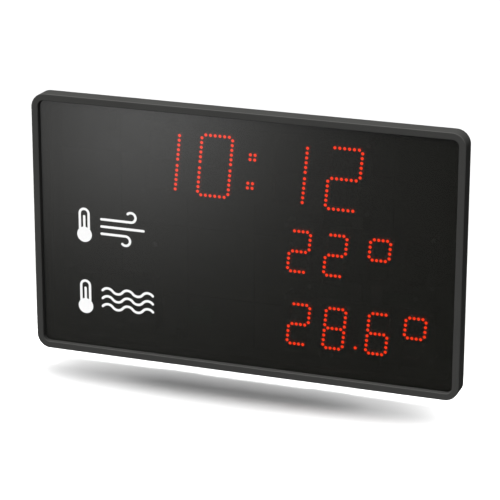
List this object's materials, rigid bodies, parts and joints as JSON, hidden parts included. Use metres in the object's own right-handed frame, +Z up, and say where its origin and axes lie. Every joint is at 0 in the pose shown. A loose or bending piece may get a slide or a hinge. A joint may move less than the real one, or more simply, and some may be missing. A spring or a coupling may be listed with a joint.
{
  "type": "electronic display board",
  "caption": "Flat wall display: rounded rim and smoked window before boards of round red lamps for a clock and two temperature lines, in a case that hooks on a sheet-steel wall bracket",
  "frame": {"origin": "centre of the wall bracket's rear face, on the wall, at the middle height of the rim", "axes": "+X to the right as the display is read, +Y into the wall, +Z up"},
  "size_m": [0.5, 0.048, 0.3],
  "materials": {
    "rim_plastic": "fine satin grain",
    "shell_plastic": "fine matt grain",
    "smoked_window": "smoked, satin anti-glare front",
    "black_rubber": "matt",
    "lamp_board": "black solder mask with clear red lamps",
    "green_board": "satin solder mask",
    "black_plastic": "moulded",
    "terminal_plastic": "moulded",
    "ribbon_grey": "flat cable",
    "button_plastic": "moulded",
    "bright_steel": "bright",
    "zinc_sheet": "zinc plated sheet"
  },
  "bodies": {
    "bracket": {"wall_bracket": "zinc_sheet"},
    "display_case": {"front_bezel": "rim_plastic", "front_window": "smoked_window", "window_tape": "black_rubber", "rear_shell": "shell_plastic", "shell_seal": "black_rubber", "display_board_clock": "lamp_board", "display_board_air": "lamp_board", "display_board_pool": "lamp_board", "control_board": "green_board", "power_supply": "black_plastic", "mains_terminal": "terminal_plastic", "signal_terminal": "terminal_plastic", "ribbon_clock": "ribbon_grey", "ribbon_air": "ribbon_grey", "ribbon_pool": "ribbon_grey", "hanger_rod_left": "bright_steel", "hanger_rod_right": "bright_steel", "mains_grommet": "black_rubber", "signal_grommet": "black_rubber", "setting_switch_1": "black_plastic", "setting_switch_2": "black_plastic", "case_screw_1": "bright_steel", "case_screw_2": "bright_steel", "case_screw_3": "bright_steel", "case_screw_4": "bright_steel", "case_screw_5": "bright_steel", "case_screw_6": "bright_steel", "case_screw_7": "bright_steel", "case_screw_8": "bright_steel", "clock_board_screw_1": "bright_steel", "clock_board_screw_2": "bright_steel", "clock_board_screw_3": "bright_steel", "clock_board_screw_4": "bright_steel", "air_board_screw_1": "bright_steel", "air_board_screw_2": "bright_steel", "air_board_screw_3": "bright_steel", "air_board_screw_4": "bright_steel", "pool_board_screw_1": "bright_steel", "pool_board_screw_2": "bright_steel", "pool_board_screw_3": "bright_steel", "pool_board_screw_4": "bright_steel", "control_board_screw_1": "bright_steel", "control_board_screw_2": "bright_steel", "control_board_screw_3": "bright_steel", "control_board_screw_4": "bright_steel", "power_supply_screw_1": "bright_steel", "power_supply_screw_2": "bright_steel"},
    "setting_button_1": {"setting_button_1": "button_plastic"},
    "setting_button_2": {"setting_button_2": "button_plastic"},
    "locking_screw_left": {"locking_screw_left": "bright_steel"},
    "locking_screw_right": {"locking_screw_right": "bright_steel"}
  },
  "joints": [
    {"name": "case_swing", "type": "hinge", "parent": "bracket", "child": "display_case", "pos_m": [0, -0.01525, 0.122], "axis": [-1, 0, 0], "range_deg": [0, 25]},
    {"name": "locking_screw_left_release", "type": "slide", "parent": "display_case", "child": "locking_screw_left", "axis": [0, 0, -1], "range_m": [0, 0.006]},
    {"name": "locking_screw_right_release", "type": "slide", "parent": "display_case", "child": "locking_screw_right", "axis": [0, 0, -1], "range_m": [0, 0.006]},
    {"name": "setting_button_1_press", "type": "slide", "parent": "display_case", "child": "setting_button_1", "axis": [0, 0, 1], "range_m": [0, 0.0012], "stiffness_N_per_m": 400, "springref_m": -0.002},
    {"name": "setting_button_2_press", "type": "slide", "parent": "display_case", "child": "setting_button_2", "axis": [0, 0, 1], "range_m": [0, 0.0012], "stiffness_N_per_m": 400, "springref_m": -0.002}
  ]
}
